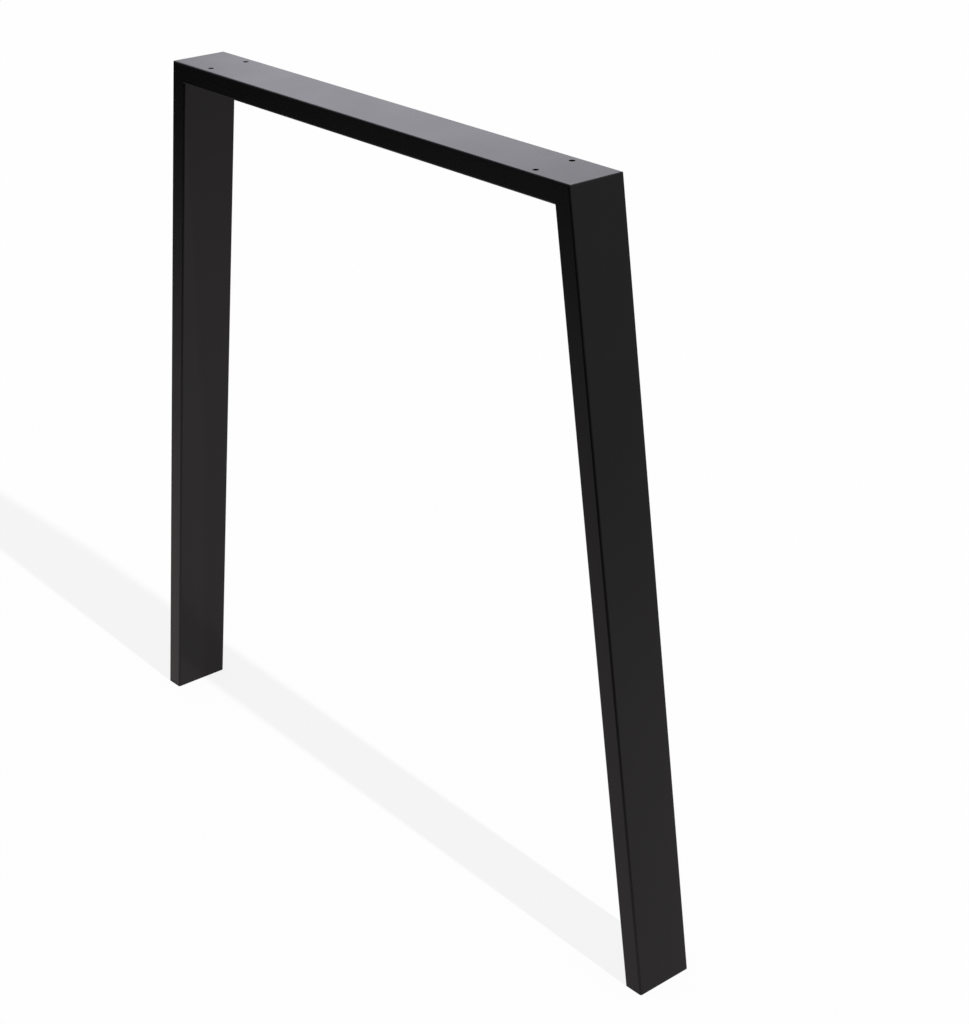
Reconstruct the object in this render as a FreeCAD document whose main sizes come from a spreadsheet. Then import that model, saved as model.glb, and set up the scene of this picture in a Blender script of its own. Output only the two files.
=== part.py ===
# Trapezoid table leg: a welded frame of flat rectangular steel tube, with a plastic plug in each foot.
# Millimetres. The frame stands on z = 0, centred on x = 0 and y = 0, with its crossbar along x.
import FreeCAD, Part
import math
import os
import re
import Sketcher

V = FreeCAD.Vector
TOUCH = 1e-6  # two heights this close are the same one

# Driving dimensions, each one a cell of the document's sheet.
DRIVING = {
    "frame_height": 730,  # floor to the top face of the crossbar
    "top_width": 567,  # outside width of the frame at its top face
    "foot_width": 770,  # outside width of the frame at the floor
    "tube_depth": 60,  # wide side of the tube, front to back
    "tube_thickness": 20,  # narrow side of the tube
    "tube_wall": 2,
    "edge_radius": 2,  # outside, along the tube's long edges
    "bore_radius": 0.5,  # inside, along the tube's long edges
    "dressed_radius": 0.8,  # ground on the outer corner of each weld
    "hole_end_inset": 51,  # screw holes, in from the outer corners of the frame
    "hole_side_inset": 10,  # screw holes, in from the long edges of the crossbar
    "screw_hole": 5.5,  # diameter in the upper wall of the crossbar
    "access_hole": 12,  # diameter in its lower wall, for the screw's head and the driver
    "sole_thickness": 1.5,  # plug's sole, between the end of the tube and the floor
    "sole_radius": 0.5,  # lower edges of the sole
    "shank_length": 19,  # plug's shank, from the floor up along the leg
    "shank_wall": 1.6,  # walls and webs of the shank
    "shank_lead": 0.6,  # bevel on the shank's leading edges
    "cell_count": 3,  # hollow cells in the shank
    "rib_count": 4,  # ribs up each side of the shank
    "rib_start": 5,  # lowest rib, from the floor up along the leg
    "rib_pitch": 3.6,
    "rib_thickness": 0.9,
    "rib_reach": 1.2,  # from the shank to the bore of the tube
    "rib_clearance": 0.1,  # between a rib and the bore
    "saw_allowance": 10,  # stock left past each saw cut before it is made
}

# Sizes that follow. The splay is a leg's lean, and the mitre is how far its cut is from a square one.
DERIVED = {
    "splay": "atan((foot_width - top_width) / 2 / frame_height)",
    "mitre": "45 deg - splay / 2",
    "bore_depth": "tube_depth - 2 * tube_wall",
    "bore_thickness": "tube_thickness - 2 * tube_wall",
    "mitre_drop": "tube_thickness / 2 * tan(mitre)",
    "foot_drop": "tube_thickness / 2 * tan(splay)",
    "leg_axis_x": "foot_width / 2 - tube_thickness / 2 / cos(splay)",
    "leg_tip": "frame_height / cos(splay) - foot_drop",
    "tube_foot": "sole_thickness / cos(splay)",
    "saw_block": "2 * (tube_thickness + saw_allowance)",
    "hole_spacing": "top_width - 2 * hole_end_inset",
    "hole_gauge": "tube_depth - 2 * hole_side_inset",
    "grind_setback": "dressed_radius * tan(mitre)",
    "grind_block": "dressed_radius + saw_allowance",
    "shank_depth": "bore_depth - 2 * rib_reach",
    "shank_thickness": "bore_thickness - 2 * rib_reach",
    "rib_span_depth": "bore_depth - 2 * rib_clearance",
    "rib_span_thickness": "bore_thickness - 2 * rib_clearance",
    "cell_floor": "tube_foot + foot_drop",
    "cell_thickness": "shank_thickness - 2 * shank_wall",
    "cell_width": "(shank_depth - (cell_count + 1) * shank_wall) / cell_count",
    "cell_pitch": "cell_width + shank_wall",
}

doc = FreeCAD.newDocument("table_leg")
sizes = doc.addObject("Spreadsheet::Sheet", "sizes")
cells = {name: str(value) for name, value in DRIVING.items()}
cells.update({name: "=" + formula for name, formula in DERIVED.items()})
for row, (name, content) in enumerate(cells.items(), start=1):
    sizes.set(f"A{row}", name)
    sizes.set(f"B{row}", content)
    sizes.setAlias(f"B{row}", name)
doc.recompute()


def size(name):
    """The value of a cell, as a plain number."""
    value = getattr(sizes, name)
    return float(getattr(value, "Value", value))


def bind(item, target, formula):
    """Ties a property to a formula, in which a size stands for its cell."""
    linked = re.sub(r"[a-z_]+", lambda word: "sizes." * (word.group() in cells) + word.group(), formula)
    item.setExpression(target, linked)


# Sketches: each is drawn at its true size, and its dimensions are tied to the sheet.


def origin_item(body, role):
    """One of the body's own origin planes or axes."""
    return next(item for item in body.Origin.OriginFeatures if item.Role == role)


def new_sketch(body, name, role, x="0", y="0", lift="0", turn="0 deg"):
    """A sketch on an origin plane, moved and turned within that plane and lifted off it."""
    sketch = body.newObject("Sketcher::SketchObject", name)
    sketch.AttachmentSupport = (origin_item(body, role), [""])
    sketch.MapMode = "FlatFace"
    sketch.AttachmentOffset = FreeCAD.Placement(V(), FreeCAD.Rotation(V(0, 0, 1), 1))
    bind(sketch, "AttachmentOffset.Base.x", x)
    bind(sketch, "AttachmentOffset.Base.y", y)
    bind(sketch, "AttachmentOffset.Base.z", lift)
    bind(sketch, "AttachmentOffset.Rotation.Angle", turn)
    return sketch


def constrain(sketch, kind, *where):
    return sketch.addConstraint(Sketcher.Constraint(kind, *where))


def dimension(sketch, name, kind, *where):
    """A dimension that follows the size of that name."""
    index = constrain(sketch, kind, *where, size(name))
    label = f"{name}_{kind}"
    sketch.renameConstraint(index, label)
    bind(sketch, "Constraints." + label, name)


def outline(sketch, points):
    """A closed run of straight lines, with its first line level and every corner square."""
    first = sketch.GeometryCount
    lines = range(first, first + len(points))
    for start, end in zip(points, points[1:] + points[:1]):
        sketch.addGeometry(Part.LineSegment(V(*start), V(*end)))
    for line in lines:
        following = first + (line - first + 1) % len(points)
        constrain(sketch, "Coincident", line, 2, following, 1)
        constrain(sketch, "Vertical" if (line - first) % 2 else "Horizontal", line)
    return lines


def rectangle(sketch, across, along):
    """A rectangle about the sketch's origin."""
    x, y = size(across) / 2, size(along) / 2
    low, right, high, _ = outline(sketch, [(-x, -y), (x, -y), (x, y), (-x, y)])
    constrain(sketch, "Symmetric", low, 1, high, 1, -1, 1)
    dimension(sketch, across, "DistanceX", low, 1, low, 2)
    dimension(sketch, along, "DistanceY", right, 1, right, 2)


def rounded_rectangle(sketch, across, along, radius):
    """A rectangle about the sketch's origin, with round corners."""
    x, y, r = size(across) / 2, size(along) / 2, size(radius)
    straights = [
        ((r - x, -y), (x - r, -y)),
        ((x, r - y), (x, y - r)),
        ((x - r, y), (r - x, y)),
        ((-x, y - r), (-x, r - y)),
    ]
    centres = [(x - r, r - y), (x - r, y - r), (r - x, y - r), (r - x, r - y)]
    first = sketch.GeometryCount
    for quarter, ((start, end), centre) in enumerate(zip(straights, centres)):
        sketch.addGeometry(Part.LineSegment(V(*start), V(*end)))
        begin = (quarter - 1) * math.pi / 2
        circle = Part.Circle(V(*centre), V(0, 0, 1), r)
        sketch.addGeometry(Part.ArcOfCircle(circle, begin, begin + math.pi / 2))
    for quarter in range(4):
        line = first + 2 * quarter
        arc = line + 1
        constrain(sketch, "Vertical" if quarter % 2 else "Horizontal", line)
        constrain(sketch, "Tangent", line, 2, arc, 1)
        constrain(sketch, "Tangent", arc, 2, first + (2 * quarter + 2) % 8, 1)
        if quarter:
            constrain(sketch, "Equal", first + 1, arc)
    low, right, high, left = range(first, first + 8, 2)
    constrain(sketch, "Symmetric", low, 1, high, 1, -1, 1)
    dimension(sketch, across, "DistanceX", left, 1, right, 1)
    dimension(sketch, along, "DistanceY", low, 1, high, 1)
    dimension(sketch, radius, "Radius", first + 1)


def hole_pattern(sketch, diameter):
    """Four round holes, at the corners of the screw pattern."""
    x, y = size("hole_spacing") / 2, size("hole_gauge") / 2
    first = sketch.GeometryCount
    for centre in [(x, y), (-x, y), (-x, -y), (x, -y)]:
        sketch.addGeometry(Part.Circle(V(*centre), V(0, 0, 1), size(diameter) / 2))
    a, b, c, d = range(first, first + 4)
    for other in (b, c, d):
        constrain(sketch, "Equal", a, other)
    constrain(sketch, "Symmetric", a, 3, c, 3, -1, 1)
    constrain(sketch, "Symmetric", b, 3, d, 3, -1, 1)
    constrain(sketch, "Horizontal", a, 3, b, 3)
    constrain(sketch, "Vertical", b, 3, c, 3)
    dimension(sketch, "hole_spacing", "DistanceX", b, 3, a, 3)
    dimension(sketch, "hole_gauge", "DistanceY", d, 3, a, 3)
    dimension(sketch, diameter, "Diameter", a)


# Features


def settle(body, feature):
    """Makes a feature the last one of its body, and works it out."""
    body.Tip = feature
    doc.recompute()
    return feature


def pad(body, sketch, name, up, down=None):
    """Material on a sketch, upwards, and downwards too where the stock runs both ways."""
    feature = body.newObject("PartDesign::Pad", name)
    feature.Profile = sketch
    bind(feature, "Length", up)
    if down:
        feature.SideType = "Two sides"
        bind(feature, "Length2", down)
    return settle(body, feature)


def pocket(body, sketch, name, side_type="One side", depth=None, upwards=False):
    """A cut along a sketch's normal, right through where no depth is given."""
    feature = body.newObject("PartDesign::Pocket", name)
    feature.Profile = sketch
    feature.SideType = side_type
    feature.Reversed = upwards
    if depth:
        bind(feature, "Length", depth)
    else:
        feature.Type = "ThroughAll"
    return settle(body, feature)


def row(body, name, features, axis, count, pitch):
    """Repeats features along one of the body's axes."""
    pattern = body.newObject("PartDesign::LinearPattern", name)
    pattern.Originals = features
    pattern.Direction = (origin_item(body, axis), [""])
    pattern.Mode = "Spacing"
    bind(pattern, "Occurrences", count)
    bind(pattern, "Offset", pitch)
    return settle(body, pattern)


def saw_cut(body, name, x, z, turn):
    """A straight cut right across, through (x, z), that takes what lies above the line once it is turned."""
    sketch = new_sketch(body, name + "_line", "XZ_Plane", x, z, turn=turn)
    half, block = size("saw_block") / 2, size("saw_block")
    low, right, _, _ = outline(sketch, [(-half, 0), (half, 0), (half, block), (-half, block)])
    constrain(sketch, "Symmetric", low, 1, low, 2, -1, 1)
    dimension(sketch, "saw_block", "DistanceX", low, 1, low, 2)
    dimension(sketch, "saw_block", "DistanceY", right, 1, right, 2)
    return pocket(body, sketch, name, "Symmetric")


def grind_corner(body, name, x, z, turn):
    """Rounds the outer corner of a weld about the centre (x, z): all outside the quarter circle goes."""
    sketch = new_sketch(body, name + "_line", "XZ_Plane", x, z, turn=turn)
    r, block = size("dressed_radius"), size("grind_block")
    points = [(r, 0), (block, 0), (block, block), (0, block), (0, r)]
    first = sketch.GeometryCount
    for number, (start, end) in enumerate(zip(points, points[1:])):
        sketch.addGeometry(Part.LineSegment(V(*start), V(*end)))
        constrain(sketch, "Vertical" if number % 2 else "Horizontal", first + number)
    low, right, high, left = range(first, first + 4)
    arc = sketch.addGeometry(Part.ArcOfCircle(Part.Circle(V(), V(0, 0, 1), r), 0, math.pi / 2))
    for end, start in [(low, right), (right, high), (high, left)]:
        constrain(sketch, "Coincident", end, 2, start, 1)
    constrain(sketch, "Coincident", arc, 1, low, 1)
    constrain(sketch, "Coincident", left, 2, arc, 2)
    constrain(sketch, "Coincident", arc, 3, -1, 1)
    constrain(sketch, "PointOnObject", low, 1, -1)
    constrain(sketch, "PointOnObject", left, 2, -2)
    dimension(sketch, "dressed_radius", "Radius", arc)
    dimension(sketch, "grind_block", "DistanceX", -1, 1, right, 1)
    dimension(sketch, "grind_block", "DistanceY", -1, 1, high, 1)
    return pocket(body, sketch, name, "Symmetric")


def edges_of(feature, picked):
    """The names of the edges whose two ends are both picked."""
    edges = enumerate(feature.Shape.Edges, start=1)
    return [f"Edge{number}" for number, edge in edges if all(picked(v.Point) for v in edge.Vertexes)]


def dress_edges(body, kind, name, feature, names, target, formula):
    """A fillet or a chamfer along some edges of the body's last feature."""
    dressing = body.newObject("PartDesign::" + kind, name)
    dressing.Base = (feature, names)
    bind(dressing, target, formula)
    return settle(body, dressing)


# Sub-parts


def new_body(name):
    """A sub-part: its label is the name of its node."""
    body = doc.addObject("PartDesign::Body", name)
    body.Label = name
    return body


def lean(body, side):
    """Stands a leg's parts on their foot: side is 1 on the right and -1 on the left."""
    body.Placement = FreeCAD.Placement(V(), FreeCAD.Rotation(V(0, 1, 0), 1))
    bind(body, "Placement.Base.x", f"{side} * leg_axis_x")
    bind(body, "Placement.Rotation.Angle", f"{-side} * splay")
    return body


def make_crossbar():
    """Tube laid flat: mitred at both ends, four screw holes above and a wider hole under each."""
    body = new_body("crossbar")
    section = new_sketch(body, "crossbar_section", "YZ_Plane")
    rounded_rectangle(section, "tube_depth", "tube_thickness", "edge_radius")
    rounded_rectangle(section, "bore_depth", "bore_thickness", "bore_radius")
    reach = "top_width / 2 + saw_allowance"
    pad(body, section, "crossbar_stock", up=reach, down=reach)
    for side, end in [(-1, "left"), (1, "right")]:
        middle = f"{side} * (top_width / 2 - mitre_drop)"
        saw_cut(body, f"crossbar_{end}_mitre", middle, "0", f"180 deg + {side} * (90 deg - mitre)")
        across = f"{side} * (top_width / 2 - grind_setback)"
        up = "tube_thickness / 2 - dressed_radius"
        grind_corner(body, f"crossbar_{end}_grind", across, up, grind_turn(side))
    screws = new_sketch(body, "screw_hole_pattern", "XY_Plane")
    hole_pattern(screws, "screw_hole")
    pocket(body, screws, "screw_holes", upwards=True)
    access = new_sketch(body, "access_hole_pattern", "XY_Plane")
    hole_pattern(access, "access_hole")
    pocket(body, access, "access_holes")
    body.Placement = FreeCAD.Placement(V(), FreeCAD.Rotation())
    bind(body, "Placement.Base.z", "frame_height - tube_thickness / 2")
    return body


def grind_turn(side):
    """A quarter circle opens to the upper right, and a quarter turn takes it to the upper left."""
    return "0 deg" if side > 0 else "90 deg"


def make_leg(name, side):
    """Upright of the frame, drawn along its own axis: mitred above, cut parallel to the floor below."""
    body = new_body(name)
    section = new_sketch(body, name + "_section", "XY_Plane")
    rounded_rectangle(section, "tube_thickness", "tube_depth", "edge_radius")
    rounded_rectangle(section, "bore_thickness", "bore_depth", "bore_radius")
    pad(body, section, name + "_stock", up="leg_tip + saw_allowance", down="saw_allowance")
    saw_cut(body, name + "_mitre", "0", "leg_tip - mitre_drop", f"{side} * mitre")
    across = f"{side} * (tube_thickness / 2 - dressed_radius)"
    grind_corner(body, name + "_grind", across, "leg_tip - grind_setback", grind_turn(side))
    saw_cut(body, name + "_foot", "0", "tube_foot", f"180 deg - {side} * splay")
    return lean(body, side)


def make_plug(name, side):
    """Moulded plug: a sole of the tube's outline, and a shank of open cells with ribs that grip the bore."""
    body = new_body(name)
    outer = new_sketch(body, name + "_outline", "XY_Plane")
    rounded_rectangle(outer, "tube_thickness", "tube_depth", "edge_radius")
    pad(body, outer, name + "_sole", up="cell_floor + saw_allowance", down="saw_allowance")
    saw_cut(body, name + "_seat", "0", "tube_foot", f"{-side} * splay")

    shank = new_sketch(body, name + "_shank_outline", "XY_Plane")
    rectangle(shank, "shank_thickness", "shank_depth")
    post = pad(body, shank, name + "_shank", up="shank_length", down="saw_allowance")
    top = size("shank_length")
    leading = edges_of(post, lambda point: abs(point.z - top) < TOUCH)
    dress_edges(body, "Chamfer", name + "_lead", post, leading, "Size", "shank_lead")

    wide = new_sketch(body, name + "_wide_rib_outline", "XY_Plane", lift="rib_start")
    rectangle(wide, "rib_span_thickness", "shank_depth")
    narrow = new_sketch(body, name + "_narrow_rib_outline", "XY_Plane", lift="rib_start")
    rectangle(narrow, "shank_thickness", "rib_span_depth")
    wide_rib = pad(body, wide, name + "_wide_rib", up="rib_thickness")
    narrow_rib = pad(body, narrow, name + "_narrow_rib", up="rib_thickness")
    row(body, name + "_ribs", [wide_rib, narrow_rib], "Z_Axis", "rib_count", "rib_pitch")

    first_cell = "-(cell_count - 1) / 2 * cell_pitch"
    cell = new_sketch(body, name + "_cell_outline", "XY_Plane", y=first_cell, lift="shank_length")
    rectangle(cell, "cell_thickness", "cell_width")
    hollow = pocket(body, cell, name + "_cell", depth="shank_length - cell_floor")
    row(body, name + "_cells", [hollow], "Y_Axis", "cell_count", "cell_pitch")

    sole = saw_cut(body, name + "_floor", "0", "0", f"180 deg - {side} * splay")
    lean_angle = math.radians(side * size("splay"))
    floor_normal = V(math.sin(lean_angle), 0, math.cos(lean_angle))
    rim = edges_of(sole, lambda point: abs(point.dot(floor_normal)) < TOUCH)
    dress_edges(body, "Fillet", name + "_sole_edge", sole, rim, "Radius", "sole_radius")
    return lean(body, side)


nodes = [make_crossbar()]
for side, place in [(-1, "left"), (1, "right")]:
    nodes.append(make_leg(place + "_leg", side))
    nodes.append(make_plug(place + "_foot_plug", side))
doc.recompute()

for item in doc.Objects:
    if {"Invalid", "Error"} & set(item.State):
        raise RuntimeError(f"{item.Name} failed: {item.State}")
os.makedirs("parts", exist_ok=True)
for body in nodes:
    shape = body.Shape
    if shape.isNull() or not shape.isValid() or len(shape.Solids) != 1:
        raise RuntimeError(f"{body.Label} isn't one valid solid")
    shape.exportStep(f"parts/{body.Label}.step")
    box = shape.BoundBox
    print(
        f"{body.Label}: {shape.Volume / 1000:.2f} cm3,"
        f" x {box.XMin:.2f} to {box.XMax:.2f}, y {box.YMin:.2f} to {box.YMax:.2f},"
        f" z {box.ZMin:.2f} to {box.ZMax:.2f}"
    )
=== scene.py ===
import math

import bpy
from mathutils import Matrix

# A trestle table leg: a welded frame of flat steel tube, coated black, standing on two plugged feet.
# Metres, Z up. The frame stands on z = 0 with its crossbar along x, and its front faces -y.
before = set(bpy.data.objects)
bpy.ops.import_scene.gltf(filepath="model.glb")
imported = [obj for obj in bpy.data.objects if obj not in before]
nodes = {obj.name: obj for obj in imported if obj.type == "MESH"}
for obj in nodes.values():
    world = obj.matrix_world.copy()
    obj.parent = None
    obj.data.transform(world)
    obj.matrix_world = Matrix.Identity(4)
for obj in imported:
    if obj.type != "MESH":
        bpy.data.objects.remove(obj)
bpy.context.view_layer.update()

# Crossbar
# Rectangular steel tube, 60 by 20 mm with a 2 mm wall, laid flat, mitred and welded to the legs, with the
# welds ground flush. Four holes in its upper wall take the table's screws, and wider ones below let the
# driver in. The whole frame is then blasted and powder coated.


def linear(code):
    """An sRGB hex colour as the linear RGBA that a shader takes."""
    parts = [int(code[at:at + 2], 16) / 255 for at in (1, 3, 5)]
    return [*(c / 12.92 if c <= 0.04045 else ((c + 0.055) / 1.055) ** 2.4 for c in parts), 1.0]


def per_metre(millimetres):
    """The scale of a pattern whose features are this far apart."""
    return 1000 / millimetres


def add(tree, kind, inputs=None, **settings):
    """Adds a node with its settings, sets or links its inputs, and returns its first output."""
    node = tree.nodes.new("ShaderNode" + kind)
    for name, value in settings.items():
        setattr(node, name, value)
    for key, value in (inputs or {}).items():
        named = [socket for socket in node.inputs if socket.enabled and socket.name == key]
        socket = named[0] if named else node.inputs[key]
        if isinstance(value, bpy.types.NodeSocket):
            tree.links.new(value, socket)
        else:
            socket.default_value = value
    return next(socket for socket in node.outputs if socket.enabled)


TUBE_DEPTH, TUBE_THICKNESS, TUBE_WALL = 0.060, 0.020, 0.002
FRAME_HEIGHT = 0.730


def powder_coated_steel(name, middle, turn):
    """Black polyester powder, baked on: a satin film with a faint orange peel and a fine sandy grain, so that
    it mirrors the room softly. It doesn't reach the inside of the tube, which keeps its dull blue-grey skin
    from the mill. middle is a point on the tube's axis, and turn is how far that leans from upright to +x."""
    material = bpy.data.materials.new(name)
    material.use_nodes = True
    tree = material.node_tree
    shader = tree.nodes["Principled BSDF"]

    place = add(tree, "TexCoord").node.outputs["Object"]
    lie = {"Vector": place, "Location": middle, "Rotation": (0, turn, 0)}
    along = add(tree, "Mapping", lie, vector_type="TEXTURE")

    # The film flows into a soft peel, its peaks 3 mm apart, over a sandy grain that is drawn at 0.9 mm, twice
    # its real size, so that it shows.
    peel = add(tree, "TexNoise", {"Vector": along, "Scale": per_metre(3), "Detail": 1, "Roughness": 0.4})
    grain = add(tree, "TexNoise", {"Vector": along, "Scale": per_metre(0.9), "Detail": 2, "Roughness": 0.6})
    # Its thickness and cure drift a little over a hand's breadth, which shifts its black and its gloss.
    drift = add(tree, "TexNoise", {"Vector": along, "Scale": per_metre(70), "Detail": 2, "Roughness": 0.5})

    deep, thin = linear("#060607"), linear("#090909")
    coat = add(tree, "Mix", {"Factor": drift, "A": deep, "B": thin}, data_type="RGBA")
    sandy = {"Value": grain, "From Min": 0.35, "From Max": 0.65, "To Min": 0.86, "To Max": 1.14}
    coat = add(tree, "VectorMath", {0: coat, "Scale": add(tree, "MapRange", sandy)}, operation="SCALE")
    satin = {"Value": drift, "From Min": 0.3, "From Max": 0.7, "To Min": 0.20, "To Max": 0.23}
    grit = {0: grain, 1: 0.05, 2: add(tree, "MapRange", satin)}
    matt = add(tree, "Math", grit, operation="MULTIPLY_ADD")

    # Inside the tube is all that lies within its bore. The margin takes in the bore's own faces.
    margin = 0.0003
    offset = add(tree, "VectorMath", {0: along}, operation="ABSOLUTE")
    sides = add(tree, "SeparateXYZ", {"Vector": offset}).node.outputs
    within = []
    for side, width in (("X", TUBE_THICKNESS), ("Y", TUBE_DEPTH)):
        edge = width / 2 - TUBE_WALL + margin
        within.append(add(tree, "Math", {0: sides[side], 1: edge}, operation="LESS_THAN"))
    inside = add(tree, "Math", {0: within[0], 1: within[1]}, operation="MULTIPLY")
    blue, brown = linear("#4A4E54"), linear("#5A5450")
    mill = add(tree, "Mix", {"Factor": drift, "A": blue, "B": brown}, data_type="RGBA")
    mill_roughness, mill_metal = 0.6, 0.7

    colour = add(tree, "Mix", {"Factor": inside, "A": coat, "B": mill}, data_type="RGBA")
    roughness = add(tree, "Mix", {"Factor": inside, "A": matt, "B": mill_roughness})
    metal = add(tree, "Math", {0: inside, 1: mill_metal}, operation="MULTIPLY")
    peel_height, grain_height = 0.000012, 0.000008
    flow = add(tree, "Bump", {"Height": peel, "Strength": 1, "Distance": peel_height})
    relief = add(tree, "Bump", {"Height": grain, "Strength": 1, "Distance": grain_height, "Normal": flow})
    tree.links.new(colour, shader.inputs["Base Color"])
    tree.links.new(roughness, shader.inputs["Roughness"])
    tree.links.new(metal, shader.inputs["Metallic"])
    tree.links.new(relief, shader.inputs["Normal"])
    return material


def finish_node(name, material):
    """Gives a CAD node its finish."""
    for place in nodes[name].material_slots:
        place.material = material


crossbar_middle = (0, 0, FRAME_HEIGHT - TUBE_THICKNESS / 2)
coated_crossbar = powder_coated_steel("powder_coated_crossbar", crossbar_middle, math.radians(90))
finish_node("crossbar", coated_crossbar)

# Legs
# The same tube, mitred to the crossbar above, leaning outwards, and sawn level 1.5 mm above the floor below.
# They are coated with the crossbar, in one go, so the film runs over the welds without a line.
TOP_WIDTH, FOOT_WIDTH = 0.567, 0.770
splay = math.atan((FOOT_WIDTH - TOP_WIDTH) / 2 / FRAME_HEIGHT)
foot_x = FOOT_WIDTH / 2 - TUBE_THICKNESS / 2 / math.cos(splay)
for side, name in ((-1, "left_leg"), (1, "right_leg")):
    coated_leg = powder_coated_steel("powder_coated_" + name, (side * foot_x, 0, 0), -side * splay)
    finish_node(name, coated_leg)

# Foot plugs
# Injection-moulded polyethylene, pressed into the open ends of the legs by hand. All that shows is the sole,
# a thin lip of the tube's outline that keeps the steel's edge off the floor.


def moulded_polyethylene(name):
    """Black polyethylene from a spark-eroded mould: a dull, slightly waxy surface with a fine even pitting,
    and a grey bloom of dust under the sole, where it meets the floor."""
    material = bpy.data.materials.new(name)
    material.use_nodes = True
    tree = material.node_tree
    shader = tree.nodes["Principled BSDF"]

    place = add(tree, "TexCoord").node.outputs["Object"]
    # Real pits are about 0.1 mm wide, and are drawn at 0.5 mm, so that they show.
    pits = add(tree, "TexVoronoi", {"Vector": place, "Scale": per_metre(0.5)}, feature="SMOOTH_F1")
    bloom = add(tree, "TexNoise", {"Vector": place, "Scale": per_metre(6), "Detail": 3, "Roughness": 0.6})
    height = add(tree, "SeparateXYZ", {"Vector": place}).node.outputs["Z"]
    dust_height = 0.0004
    under = {"Value": height, "From Min": 0.0, "From Max": dust_height, "To Min": 0.7, "To Max": 0.0}
    dusty = add(tree, "Math", {0: add(tree, "MapRange", under), 1: bloom}, operation="MULTIPLY")
    black, dust = linear("#0B0B0C"), linear("#6E6A64")
    colour = add(tree, "Mix", {"Factor": dusty, "A": black, "B": dust}, data_type="RGBA")
    dull = {"Value": bloom, "From Min": 0.3, "From Max": 0.7, "To Min": 0.62, "To Max": 0.72}
    roughness = add(tree, "MapRange", dull)
    pit_depth = 0.000015
    relief = add(tree, "Bump", {"Height": pits, "Strength": 1, "Distance": pit_depth})
    tree.links.new(colour, shader.inputs["Base Color"])
    tree.links.new(roughness, shader.inputs["Roughness"])
    tree.links.new(relief, shader.inputs["Normal"])
    return material


plug_finish = moulded_polyethylene("moulded_polyethylene")
for name in ("left_foot_plug", "right_foot_plug"):
    finish_node(name, plug_finish)

# Studio floor
# A sheet of white card, wide enough to fill the picture. The camera sees it white, with the frame's shadow on
# it. In the coat's reflections it shows a painted pool of light: a glow painted on the card, brightest in a
# long pool under the frame, grey behind, and dim in front.
FLOOR_HALF = 20.0
mesh = bpy.data.meshes.new("floor")
corners = [(FLOOR_HALF * x, FLOOR_HALF * y, 0) for x, y in ((-1, -1), (1, -1), (1, 1), (-1, 1))]
mesh.from_pydata(corners, [], [(0, 1, 2, 3)])
floor = bpy.data.objects.new("floor", mesh)
bpy.context.scene.collection.objects.link(floor)

card = bpy.data.materials.new("white_card")
card.use_nodes = True
tree = card.node_tree
tree.nodes.remove(tree.nodes["Principled BSDF"])
path = add(tree, "LightPath").node.outputs
place = add(tree, "TexCoord").node.outputs["Object"]
lit = add(tree, "BsdfDiffuse", {"Color": linear("#E6E6E4")})

# To the camera most of the card is plain white, and the rest is lit, which leaves a pale shadow.
plain_share, plain_level = 0.82, 1.06
plain = add(tree, "Emission", {"Color": linear("#FFFFFF"), "Strength": plain_level})
seen = add(tree, "MixShader", {0: plain_share, 1: lit, 2: plain})

# The painted pool of light fades as a bell curve does, over 1.88 m along and 0.77 m across. The rest of the
# painted glow grows towards the back.
painted_pool_lie = {"Location": (-0.09, 0.10, 0), "Rotation": (0, 0, math.radians(36)), "Scale": (1.88, 0.77, 1)}
spread = add(tree, "Mapping", {"Vector": place, **painted_pool_lie}, vector_type="TEXTURE")
squared = add(tree, "VectorMath", {0: spread, 1: spread}, operation="DOT_PRODUCT").node.outputs["Value"]
painted_pool = add(tree, "Math", {0: 1 / math.e, 1: squared}, operation="POWER")
painted_pool_level = 0.448
backwards = (0.389, 0.921, 0)
behind = add(tree, "VectorMath", {0: place, 1: backwards}, operation="DOT_PRODUCT").node.outputs["Value"]
painted_growth_range = {"Value": behind, "From Min": -1.37, "From Max": 4.17, "To Min": 0.005, "To Max": 0.285}
far = add(tree, "MapRange", painted_growth_range, interpolation_type="SMOOTHSTEP")
painted_glow = add(tree, "Math", {0: painted_pool, 1: painted_pool_level, 2: far}, operation="MULTIPLY_ADD")
painted_glow_colour = add(tree, "VectorMath", {0: linear("#FFF7F5")[:3], "Scale": painted_glow}, operation="SCALE")

# A share of that painted glow is painted into the card's colour and lit by the lamp and the walls, so that
# the frame's shadow shows in it too. Where their light falls in full, it is as bright as the even share.
lit_share, full_light = 0.24, 0.88
painted_glow_albedo = add(tree, "VectorMath", {0: painted_glow_colour, "Scale": 1 / full_light}, operation="SCALE")
painted_glow_lit = add(tree, "BsdfDiffuse", {"Color": painted_glow_albedo})
painted_glow_even = add(tree, "Emission", {"Color": painted_glow_colour, "Strength": 1})
card_painted_reflection = add(tree, "MixShader", {0: lit_share, 1: painted_glow_even, 2: painted_glow_lit})

# Reflections see the card with its painted glow, the camera sees it white, and other rays see it plainly lit.
mirrored = add(tree, "Math", {0: path["Is Glossy Ray"], 1: path["Is Transmission Ray"]}, operation="ADD")
sheet = add(tree, "MixShader", {0: path["Is Camera Ray"], 1: lit, 2: seen})
sheet = add(tree, "MixShader", {0: mirrored, 1: sheet, 2: card_painted_reflection})
tree.links.new(sheet, tree.nodes["Material Output"].inputs["Surface"])
mesh.materials.append(card)

# Studio walls
# A bright screen stands behind the frame to the left, its top edge rising to the left. The wall behind is
# grey, a soft light hangs above, a little to the back, and all else is dim. The crossbar's top mirrors the
# screen.
world = bpy.data.worlds.new("studio")
world.use_nodes = True
bpy.context.scene.world = world
tree = world.node_tree
path = add(tree, "LightPath").node.outputs
bearing = add(tree, "TexCoord").node.outputs["Generated"]


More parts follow.
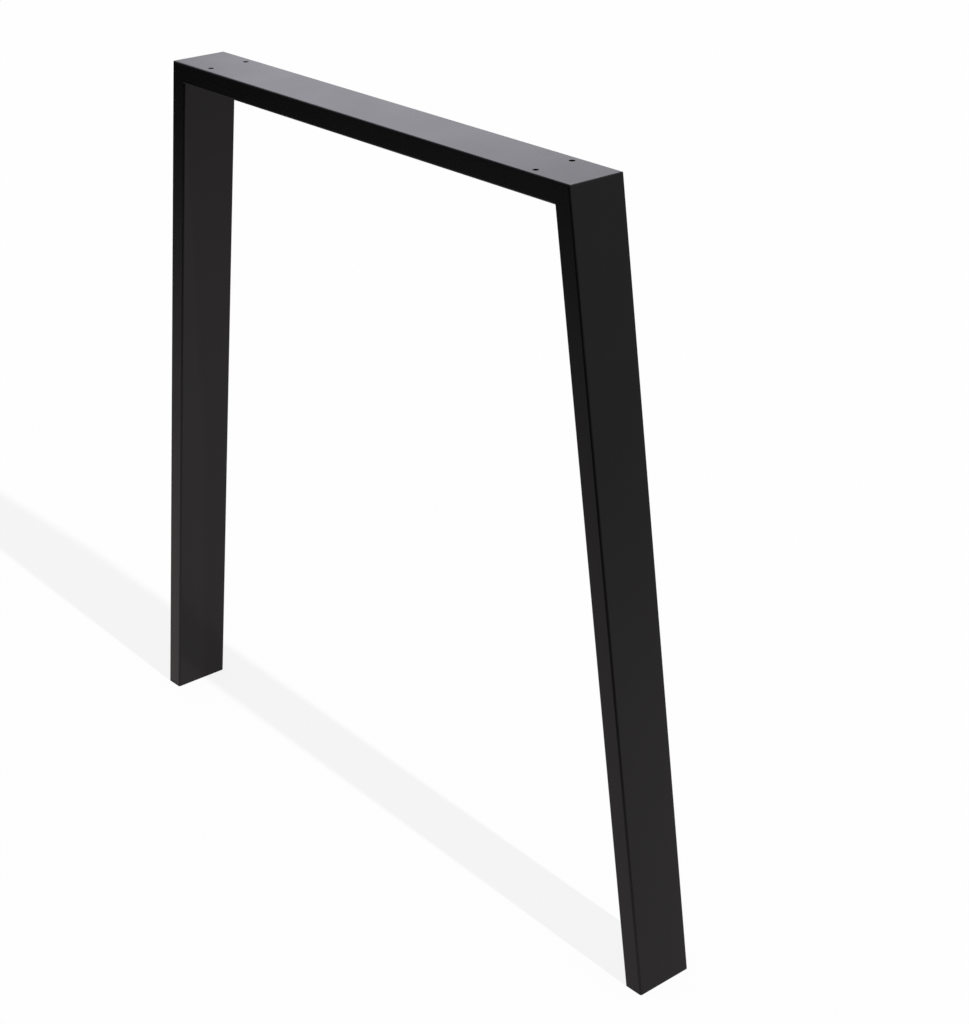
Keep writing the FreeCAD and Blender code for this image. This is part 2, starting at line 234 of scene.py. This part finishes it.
def fade(axis, dark, bright, level):
    """Light that grows to level as the bearing along an axis goes from dark to bright."""
    towards = add(tree, "VectorMath", {0: bearing, 1: axis}, operation="DOT_PRODUCT").node.outputs["Value"]
    ends = {"Value": towards, "From Min": dark, "From Max": bright, "To Min": 0, "To Max": level}
    return add(tree, "MapRange", ends, interpolation_type="SMOOTHSTEP")


# The screen ends at its left, at the front, and along its sloping top.
screen = 1.26
for axis, dark, bright in (((1, 0, 0), -0.88, -0.80), ((0, 1, 0), -0.3, 0.1), ((2.5, 0, 1), -1.23, -1.41)):
    screen = add(tree, "Math", {0: screen, 1: fade(axis, dark, bright, 1)}, operation="MULTIPLY")
dim = 0.08
wall = add(tree, "Math", {0: screen, 1: dim}, operation="ADD")
back_wall = fade((0.565, 0.825, 0), -0.2, 0.6, 0.22)
overhead = fade((0.25, 0.55, 0.80), 0.6, 0.95, 0.45)
for light in (back_wall, overhead):
    wall = add(tree, "Math", {0: wall, 1: light}, operation="ADD")

# The camera sees white, and the frame and floor are filled with an even soft light.
mirrored = add(tree, "Math", {0: path["Is Glossy Ray"], 1: path["Is Transmission Ray"]}, operation="ADD")
fill = 0.3
strength = add(tree, "Mix", {"Factor": mirrored, "A": fill, "B": wall})
strength = add(tree, "Mix", {"Factor": path["Is Camera Ray"], "A": strength, "B": 1.0})
tree.links.new(strength, tree.nodes["Background"].inputs["Strength"])
cool, white = linear("#F6F5FF"), linear("#FFFFFF")
pale = add(tree, "Mix", {"Factor": path["Is Camera Ray"], "A": cool, "B": white}, data_type="RGBA")
tree.links.new(pale, tree.nodes["Background"].inputs["Color"])

# Key light
# One lamp far off to the right, a little to the front and about 35 degrees up. It throws the frame's shadow
# along the floor to the left.
key_height, key_bearing, key_breadth = 35.5, -2.9, 0.9
key = bpy.data.objects.new("key", bpy.data.lights.new("key", "SUN"))
key.data.energy = math.pi
key.data.angle = math.radians(key_breadth)
key.rotation_euler = (0, math.radians(90 - key_height), math.radians(key_bearing))
bpy.context.scene.collection.objects.link(key)

# Camera
# Worked out from the photograph's straight edges: it stands 1.9 m from the frame and 1.2 m up, and looks 24.8
# degrees down. The shift puts the centre of the view where the photograph has it.
IMAGE_WIDTH, IMAGE_HEIGHT = 969, 1024
focal_pixels, centre_across, centre_down = 2142.2, 539.6, 500.5
looking_down, looking_left = 24.807, 48.119
camera = bpy.data.objects.new("camera", bpy.data.cameras.new("camera"))
camera.location = (1.48746, -1.14102, 1.21341)
camera.rotation_euler = (math.radians(90 - looking_down), 0, math.radians(looking_left))
camera.data.sensor_width = 36
camera.data.lens = focal_pixels / IMAGE_HEIGHT * camera.data.sensor_width
camera.data.shift_x = (IMAGE_WIDTH / 2 - centre_across) / IMAGE_HEIGHT
camera.data.shift_y = (centre_down - IMAGE_HEIGHT / 2) / IMAGE_HEIGHT
bpy.context.scene.collection.objects.link(camera)
bpy.context.scene.camera = camera
bpy.context.scene.view_settings.view_transform = "Standard"
